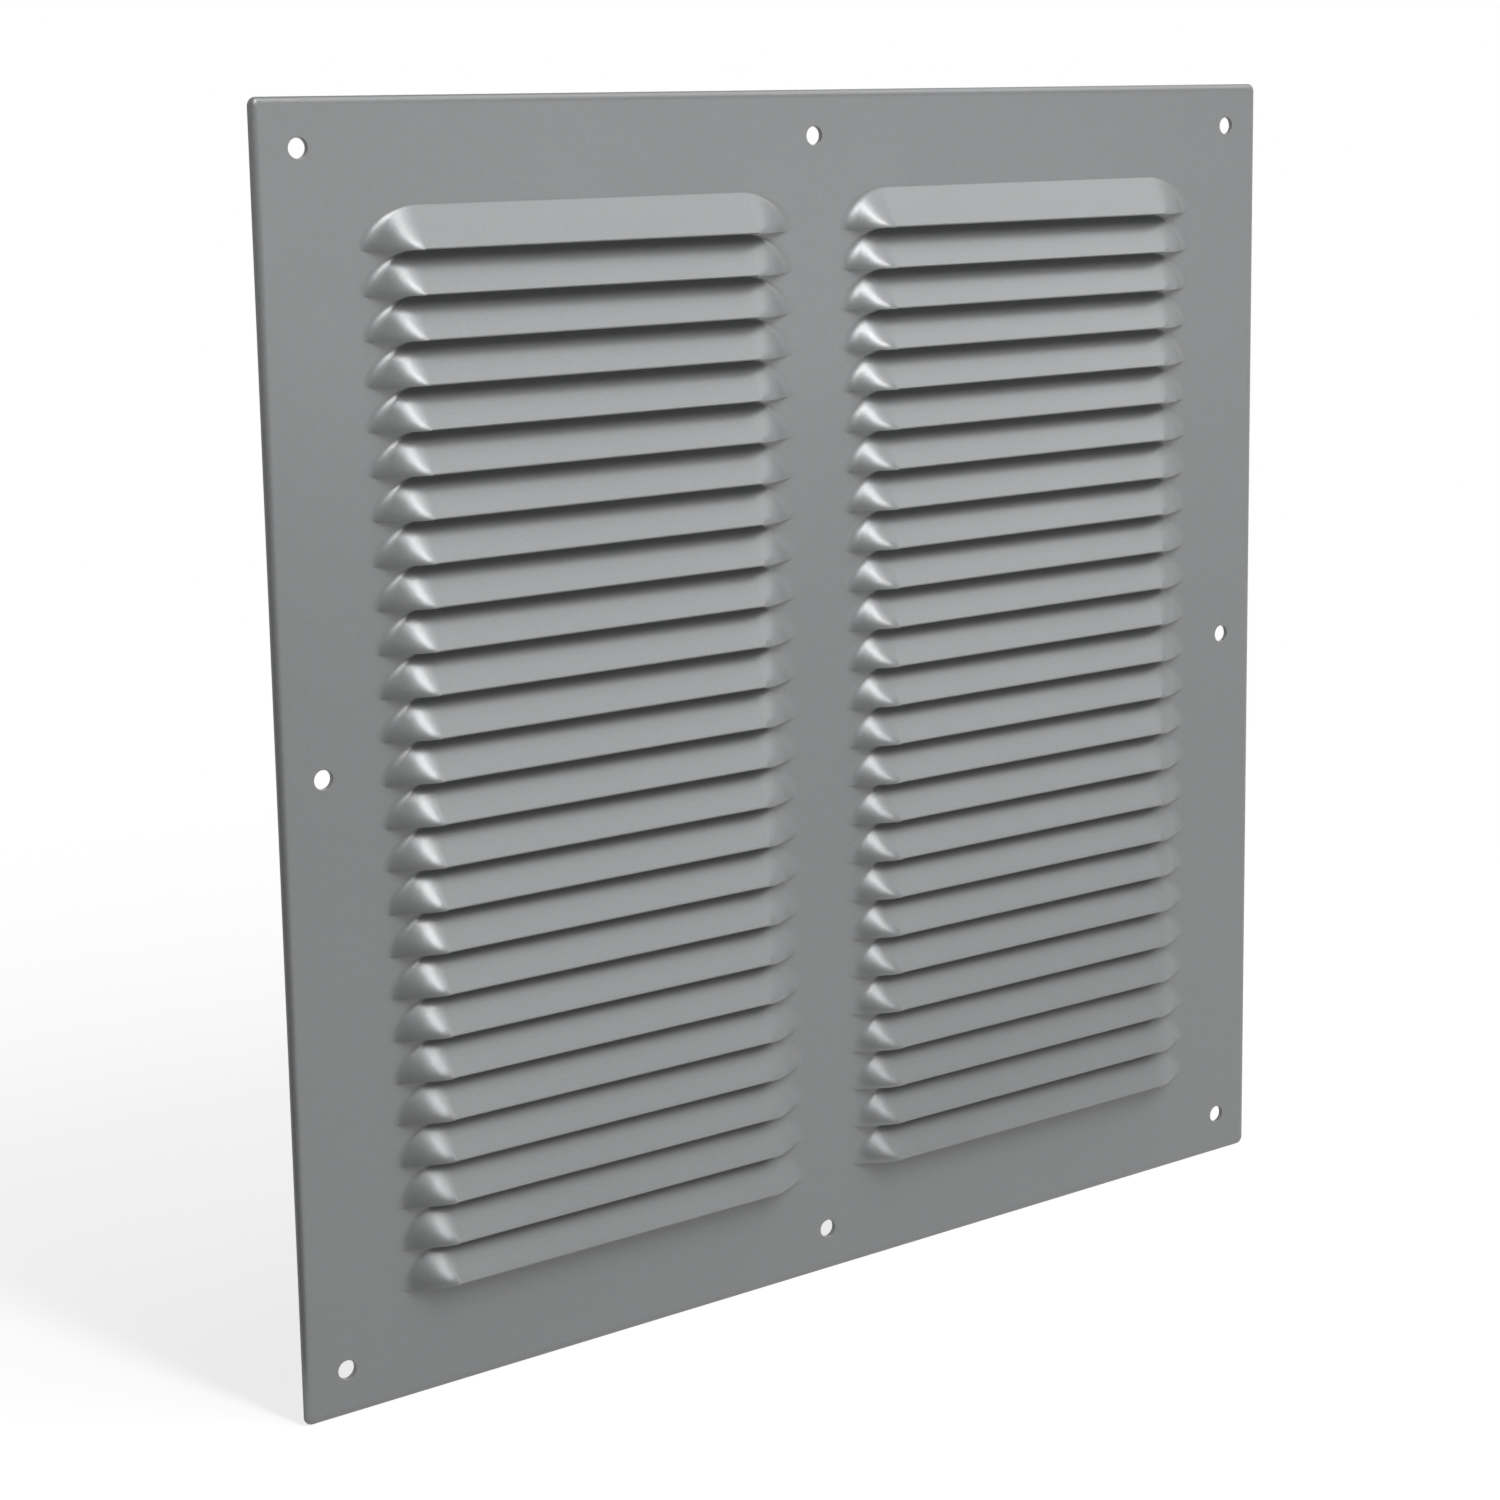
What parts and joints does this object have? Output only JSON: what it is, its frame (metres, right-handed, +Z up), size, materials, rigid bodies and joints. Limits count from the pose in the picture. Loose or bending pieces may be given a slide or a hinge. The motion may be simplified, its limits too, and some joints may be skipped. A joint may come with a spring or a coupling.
{
  "type": "ventilation grille",
  "caption": "Square pressed sheet-metal ventilation grille with columns of downward-opening louvres and screw holes along its rim, fixed flat over an air opening in a wall.",
  "frame": {"origin": "middle of the flat back face that lies on the wall", "axes": "+X along the louvres to the right seen from the front, +Y into the wall, +Z up; the louvred front faces -Y"},
  "size_m": [0.3, 0.0066, 0.3],
  "materials": {
    "lacquered_sheet": "satin silver-grey lacquer on pressed sheet aluminium"
  },
  "bodies": {
    "root": {"grille": "lacquered_sheet"}
  },
  "joints": []
}
